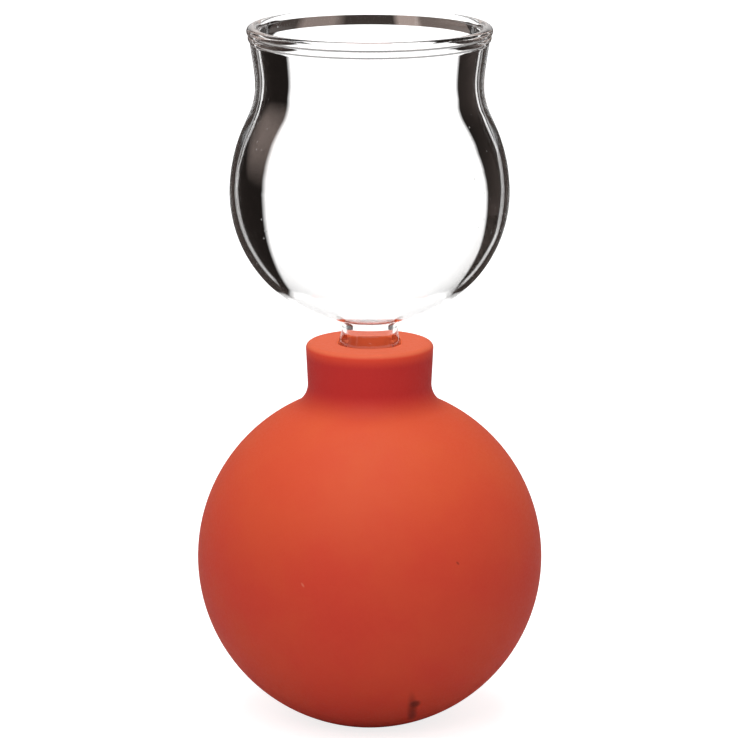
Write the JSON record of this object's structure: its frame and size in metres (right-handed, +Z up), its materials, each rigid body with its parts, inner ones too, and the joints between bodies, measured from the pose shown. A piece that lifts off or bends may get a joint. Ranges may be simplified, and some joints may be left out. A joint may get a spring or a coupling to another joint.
{
  "type": "cupping glass",
  "caption": "Glass suction cup with a beaded rim and a narrow hollow stem, held in the collar of a hollow rubber ball that is squeezed to draw air out of the cup.",
  "frame": {"origin": "centre of the flat foot under the rubber ball", "axes": "+Z up along the shared axis of ball and cup, towards the rim; X and Y are equivalent because the object is round"},
  "size_m": [0.057, 0.057, 0.1164],
  "materials": {
    "rubber": "matte, slightly chalky",
    "glass": "clear, fire-polished"
  },
  "bodies": {
    "ball": {"rubber_ball": "rubber"},
    "cup": {"glass_cup": "glass"}
  },
  "joints": [
    {"name": "glass_pull", "type": "slide", "parent": "ball", "child": "cup", "axis": [0, 0, 1], "range_m": [-0.003, 0.025]}
  ]
}
